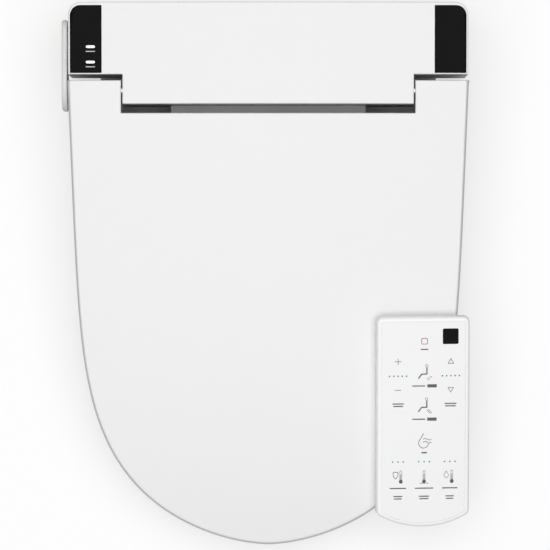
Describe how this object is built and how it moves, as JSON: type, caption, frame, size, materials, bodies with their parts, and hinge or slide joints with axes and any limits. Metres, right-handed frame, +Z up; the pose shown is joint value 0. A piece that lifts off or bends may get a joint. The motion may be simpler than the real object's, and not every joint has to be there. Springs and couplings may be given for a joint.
{
  "type": "electric bidet seat",
  "caption": "Electric bidet seat with hinged lid and heated seat ring, retractable wash nozzles, warm-air dryer, deodorizer, side keys and a hand-held remote.",
  "frame": {"origin": "midway between the two bowl-bolt slots, on the mounting plate's underside, which lies on the bowl rim", "axes": "+X across the seat to the right as seen from above with the back at the top, +Y towards the back (tank), +Z up along the bowl bolts"},
  "size_m": [0.395, 0.5262, 0.138],
  "materials": {
    "white_gloss": "smooth moulded shells",
    "plate_grey": "fine moulded",
    "rubber": "soft matt",
    "black_gloss": "polished",
    "led_lens": "clear white diffuser",
    "steel": "turned",
    "damper_black": "moulded",
    "brass": "machined",
    "inner_plastic": "fine moulded",
    "tube": "silicone",
    "tip_grey": "fine moulded",
    "mica": "mica sheet",
    "carbon": "pressed carbon",
    "board_green": "solder resist",
    "heater_foil": "foil",
    "battery_skin": "printed sleeve",
    "remote_white": "smooth moulded",
    "film": "printed film"
  },
  "bodies": {
    "plate": {"mounting_plate": "plate_grey", "plate_pad": "rubber"},
    "main_unit": {"base_housing": "white_gloss", "top_cover": "white_gloss", "left_panel": "black_gloss", "right_panel": "black_gloss", "indicator_lenses": "led_lens", "side_panel": "white_gloss", "side_switches": "damper_black", "hinge_pins": "steel", "seat_damper": "damper_black", "lid_damper": "damper_black", "water_inlet": "brass", "inlet_strainer": "steel", "inlet_valve": "inner_plastic", "water_heater": "inner_plastic", "heater_element": "steel", "diverter_valve": "inner_plastic", "water_pipes": "tube", "nozzle_guide": "plate_grey", "nozzle_guard": "white_gloss", "nozzle_motors": "steel", "dryer_duct": "inner_plastic", "dryer_motor": "steel", "dryer_heater": "mica", "deodorizer_case": "inner_plastic", "deodorizer_motor": "steel", "control_board": "board_green", "power_board": "board_green", "cord_gland": "rubber", "night_light": "led_lens", "case_screws": "steel"},
    "wash_button": {"wash_button": "plate_grey"},
    "stop_button": {"stop_button": "plate_grey"},
    "dry_button": {"dry_button": "plate_grey"},
    "rear_wand": {"rear_wand": "inner_plastic", "rear_wand_tip": "tip_grey"},
    "front_wand": {"front_wand": "inner_plastic", "front_wand_tip": "tip_grey"},
    "rear_pinion": {"rear_drive_pinion": "inner_plastic"},
    "front_pinion": {"front_drive_pinion": "inner_plastic"},
    "dryer_fan": {"dryer_impeller": "inner_plastic"},
    "dryer_flap": {"dryer_flap": "white_gloss"},
    "deodorizer_fan": {"deodorizer_impeller": "inner_plastic"},
    "filter": {"filter_holder": "white_gloss", "carbon_filter": "carbon"},
    "release_button": {"release_button": "plate_grey"},
    "seat": {"seat_top": "white_gloss", "seat_bottom": "white_gloss", "seat_heater": "heater_foil", "seat_bumpers": "rubber"},
    "lid": {"lid_shell": "white_gloss", "lid_liner": "white_gloss", "lid_bumpers": "rubber"},
    "remote": {"remote_front": "remote_white", "remote_back": "remote_white", "remote_film": "film", "remote_board": "board_green", "batteries": "battery_skin"},
    "battery_door": {"battery_door": "remote_white"}
  },
  "joints": [
    {"name": "unit_release_slide", "type": "slide", "parent": "plate", "child": "main_unit", "axis": [0, 1, 0], "range_m": [-0.06, 0]},
    {"name": "seat_hinge", "type": "hinge", "parent": "main_unit", "child": "seat", "pos_m": [0, -0.028, 0.1155], "axis": [-1, 0, 0], "range_deg": [0, 98]},
    {"name": "lid_hinge", "type": "hinge", "parent": "seat", "child": "lid", "pos_m": [0, -0.028, 0.1155], "axis": [1, 0, 0], "range_deg": [-100, 0]},
    {"name": "remote_lift", "type": "slide", "parent": "lid", "child": "remote", "axis": [0.0646, -0.1737, 0.9827], "range_m": [0, 0.2]},
    {"name": "battery_door_slide", "type": "slide", "parent": "remote", "child": "battery_door", "axis": [0, -0.9847, -0.1741], "range_m": [0, 0.09]},
    {"name": "rear_wand_slide", "type": "slide", "parent": "main_unit", "child": "rear_wand", "axis": [0, -0.9397, -0.342], "range_m": [0, 0.09]},
    {"name": "front_wand_slide", "type": "slide", "parent": "main_unit", "child": "front_wand", "axis": [0, -0.9397, -0.342], "range_m": [0, 0.09]},
    {"name": "rear_pinion_spin", "type": "hinge", "parent": "main_unit", "child": "rear_pinion", "pos_m": [-0.0095, -0.03285, 0.02448], "axis": [1, 0, 0], "range_deg": [0, 738]},
    {"name": "front_pinion_spin", "type": "hinge", "parent": "main_unit", "child": "front_pinion", "pos_m": [0.0095, -0.03285, 0.02448], "axis": [1, 0, 0], "range_deg": [0, 738]},
    {"name": "dryer_fan_spin", "type": "hinge", "parent": "main_unit", "child": "dryer_fan", "pos_m": [0.064, 0.02, 0.06], "axis": [1, 0, 0], "continuous": true},
    {"name": "dryer_flap_hinge", "type": "hinge", "parent": "main_unit", "child": "dryer_flap", "pos_m": [0.063, -0.1028, 0.036], "axis": [-1, 0, 0], "range_deg": [0, 70]},
    {"name": "deodorizer_fan_spin", "type": "hinge", "parent": "main_unit", "child": "deodorizer_fan", "pos_m": [0.118, 0.024, 0.046], "axis": [1, 0, 0], "continuous": true},
    {"name": "filter_slide", "type": "slide", "parent": "main_unit", "child": "filter", "axis": [1, 0, 0], "range_m": [0, 0.045]},
    {"name": "release_press", "type": "slide", "parent": "main_unit", "child": "release_button", "axis": [-1, 0, 0], "range_m": [0, 0.003], "stiffness_N_per_m": 800, "springref_m": -0.004},
    {"name": "wash_press", "type": "slide", "parent": "main_unit", "child": "wash_button", "axis": [1, 0, 0], "range_m": [0, 0.0008], "stiffness_N_per_m": 1500, "springref_m": -0.001},
    {"name": "stop_press", "type": "slide", "parent": "main_unit", "child": "stop_button", "axis": [1, 0, 0], "range_m": [0, 0.0008], "stiffness_N_per_m": 1500, "springref_m": -0.001},
    {"name": "dry_press", "type": "slide", "parent": "main_unit", "child": "dry_button", "axis": [1, 0, 0], "range_m": [0, 0.0008], "stiffness_N_per_m": 1500, "springref_m": -0.001}
  ],
  "couplings": [
    {"joint": "rear_pinion_spin", "follows": "rear_wand_slide", "rad_per_m": 142.86},
    {"joint": "front_pinion_spin", "follows": "front_wand_slide", "rad_per_m": 142.86}
  ]
}
